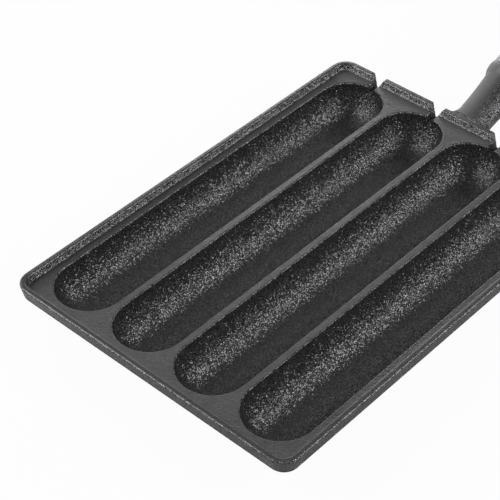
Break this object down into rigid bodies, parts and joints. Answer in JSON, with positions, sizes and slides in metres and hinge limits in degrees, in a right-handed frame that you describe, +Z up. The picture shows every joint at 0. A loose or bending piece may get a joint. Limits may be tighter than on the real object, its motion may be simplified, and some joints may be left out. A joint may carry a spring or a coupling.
{
  "type": "sausage grill pan",
  "caption": "Cast-iron grill pan with long round-bottomed troughs, a raised rim with stick notches, and a bolted wooden handle that rises to a swinging hanging ring.",
  "frame": {"origin": "middle of the whole object's footprint, on the plane that the ground flats under the troughs stand on", "axes": "+Y runs along the troughs towards the handle, +Z is up, +X is across the troughs"},
  "size_m": [0.1596, 0.4074, 0.0723],
  "materials": {
    "cast_iron": "rough as-cast skin in the troughs and outside, ground flat on the lands",
    "oiled_wood": "turned and oiled",
    "plated_steel": "satin nickel plate",
    "bare_steel": "bright zinc"
  },
  "bodies": {
    "pan_and_handle": {"pan": "cast_iron", "front_ferrule": "plated_steel", "grip": "oiled_wood", "tie_rod": "bare_steel", "end_cap": "plated_steel", "lock_washer": "bare_steel", "eye_nut": "bare_steel"},
    "ring": {"hanging_ring": "plated_steel"}
  },
  "joints": [
    {"name": "ring_swing", "type": "hinge", "parent": "pan_and_handle", "child": "ring", "pos_m": [0, 0.19824, 0.06464], "axis": [1, 0, 0], "range_deg": [-43, 246]}
  ]
}
